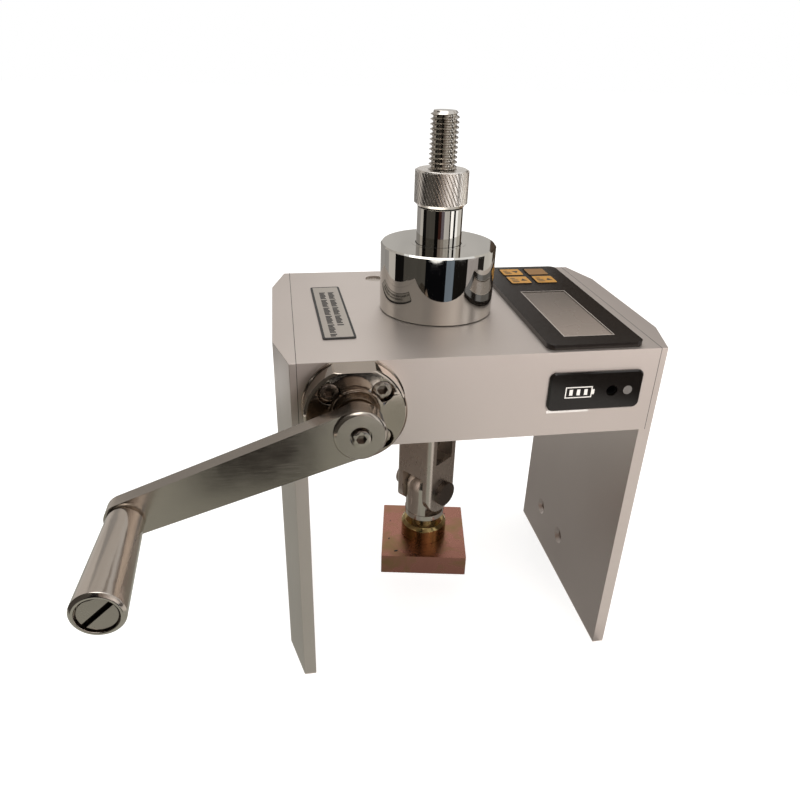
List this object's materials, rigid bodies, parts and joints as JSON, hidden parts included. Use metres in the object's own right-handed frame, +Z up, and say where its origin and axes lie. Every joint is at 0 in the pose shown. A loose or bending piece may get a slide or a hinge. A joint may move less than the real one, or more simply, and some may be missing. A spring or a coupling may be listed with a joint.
{
  "type": "pull-off adhesion tester",
  "caption": "Crank-driven pull-off adhesion tester on two leg plates, with a chromed load tower, threaded pull rod, swivelling clevis and a square test dolly.",
  "frame": {"origin": "where the axis of the pull rod meets the plane of the feet, which is the surface under test", "axes": "+X to the operator's right, +Y away from the crank side, +Z up along the pull rod"},
  "size_m": [0.2079, 0.1659, 0.2259],
  "materials": {
    "anodised_aluminium": "bead blasted, anodised",
    "chromed_steel": "chrome plated",
    "satin_stainless": "satin polished",
    "plain_steel": "turned",
    "bright_screws": "machined",
    "black_steel": "black oxide",
    "bearing_bronze": "turned",
    "yellow_brass": "turned and stained",
    "copper_dolly": "copper coloured, worn",
    "black_rubber": "moulded",
    "black_gloss_panel": "gloss",
    "clear_lens": "gloss",
    "display_face": "grey",
    "gold_keys": "golden",
    "circuit_board": "green",
    "black_moulding": "moulded",
    "grey_lamp": "milky",
    "printed_label": "printed foil",
    "plug_aluminium": "turned"
  },
  "bodies": {
    "root": {"side_plate_left": "anodised_aluminium", "side_plate_right": "anodised_aluminium", "casing": "anodised_aluminium", "base_plate": "anodised_aluminium", "base_screws": "bright_screws", "plate_screws": "bright_screws", "top_plug": "plug_aluminium", "name_plate": "printed_label", "bearing_flange": "satin_stainless", "flange_screws": "bright_screws", "front_bush": "bearing_bronze", "rear_bush": "bearing_bronze", "upper_bush": "bearing_bronze", "race_lower": "plain_steel", "tower_cap": "chromed_steel", "tower_gasket": "black_rubber", "tower_screws": "bright_screws", "guide_keys": "plain_steel", "sleeve_seal": "black_rubber", "display_panel": "black_gloss_panel", "display_lens": "clear_lens", "display_module": "display_face", "main_board": "circuit_board", "key_switches": "black_moulding", "battery_pack": "black_moulding", "charge_panel": "black_gloss_panel", "charge_jack": "black_moulding", "charge_lamp": "grey_lamp"},
    "crank": {"crank_arm": "satin_stainless", "crank_shaft": "plain_steel", "worm": "plain_steel", "worm_pin": "plain_steel", "hub_key": "plain_steel", "hub_screw": "bright_screws", "grip_bolt": "bright_screws"},
    "crank_grip": {"grip": "satin_stainless"},
    "wheel": {"worm_wheel": "bearing_bronze", "race_upper": "plain_steel"},
    "roller_train": {"thrust_rollers": "plain_steel", "thrust_cage": "bearing_bronze"},
    "lift": {"sleeve": "chromed_steel", "lift_spindle": "plain_steel", "load_cell": "plain_steel", "cell_screws": "bright_screws", "nut_washer": "black_steel"},
    "hand_nut": {"knurled_nut": "satin_stainless"},
    "rod": {"pull_rod": "plain_steel", "rod_end_cap": "plain_steel"},
    "swivel": {"ball_nut": "plain_steel"},
    "cage": {"clevis_cage": "satin_stainless", "clevis_pin": "black_steel", "pin_clip": "black_steel"},
    "eye": {"eye_stud": "satin_stainless"},
    "dolly": {"dolly_boss": "yellow_brass", "dolly_block": "copper_dolly"},
    "key_a": {"key_1": "gold_keys"},
    "key_b": {"key_2": "gold_keys"},
    "key_c": {"key_3": "gold_keys"},
    "key_d": {"key_4": "gold_keys"}
  },
  "joints": [
    {"name": "crank_turn", "type": "hinge", "parent": "root", "child": "crank", "pos_m": [-0.0395, 0, 0.1335], "axis": [0, 1, 0], "range_deg": [0, 12000]},
    {"name": "grip_spin", "type": "hinge", "parent": "crank", "child": "crank_grip", "pos_m": [-0.117, 0, 0.1058], "axis": [0, 1, 0], "continuous": true},
    {"name": "wheel_turn", "type": "hinge", "parent": "root", "child": "wheel", "pos_m": [0, 0, 0], "axis": [0, 0, 1], "range_deg": [0, 600]},
    {"name": "roller_train_turn", "type": "hinge", "parent": "root", "child": "roller_train", "pos_m": [0, 0, 0], "axis": [0, 0, 1], "range_deg": [0, 300]},
    {"name": "lift_slide", "type": "slide", "parent": "root", "child": "lift", "axis": [0, 0, 1], "range_m": [0, 0.005]},
    {"name": "nut_turn", "type": "hinge", "parent": "lift", "child": "hand_nut", "pos_m": [0, 0, 0], "axis": [0, 0, 1], "range_deg": [-823, 4115]},
    {"name": "rod_slide", "type": "slide", "parent": "lift", "child": "rod", "axis": [0, 0, 1], "range_m": [-0.02, 0.004]},
    {"name": "swivel_turn", "type": "hinge", "parent": "rod", "child": "swivel", "pos_m": [0, 0, 0.09], "axis": [0, 0, 1], "continuous": true},
    {"name": "cage_tilt", "type": "hinge", "parent": "swivel", "child": "cage", "pos_m": [0, 0, 0.09], "axis": [0.7738, 0.6334, 0], "range_deg": [-4, 4]},
    {"name": "eye_swing", "type": "hinge", "parent": "cage", "child": "eye", "pos_m": [0, 0, 0.0607], "axis": [0.6334, -0.7738, 0], "range_deg": [-30, 30]},
    {"name": "dolly_turn", "type": "hinge", "parent": "eye", "child": "dolly", "pos_m": [0, 0, 0.0328], "axis": [0, 0, 1], "continuous": true},
    {"name": "key_a_press", "type": "slide", "parent": "root", "child": "key_a", "axis": [0, 0, -1], "range_m": [0, 0.0003], "stiffness_N_per_m": 1500, "springref_m": -0.001},
    {"name": "key_b_press", "type": "slide", "parent": "root", "child": "key_b", "axis": [0, 0, -1], "range_m": [0, 0.0003], "stiffness_N_per_m": 1500, "springref_m": -0.001},
    {"name": "key_c_press", "type": "slide", "parent": "root", "child": "key_c", "axis": [0, 0, -1], "range_m": [0, 0.0003], "stiffness_N_per_m": 1500, "springref_m": -0.001},
    {"name": "key_d_press", "type": "slide", "parent": "root", "child": "key_d", "axis": [0, 0, -1], "range_m": [0, 0.0003], "stiffness_N_per_m": 1500, "springref_m": -0.001}
  ],
  "couplings": [
    {"joint": "wheel_turn", "follows": "crank_turn", "ratio": 0.05},
    {"joint": "roller_train_turn", "follows": "crank_turn", "ratio": 0.025},
    {"joint": "lift_slide", "follows": "crank_turn", "m_per_rad": 0.000023871},
    {"joint": "nut_turn", "follows": "rod_slide", "rad_per_m": -3590.4}
  ]
}
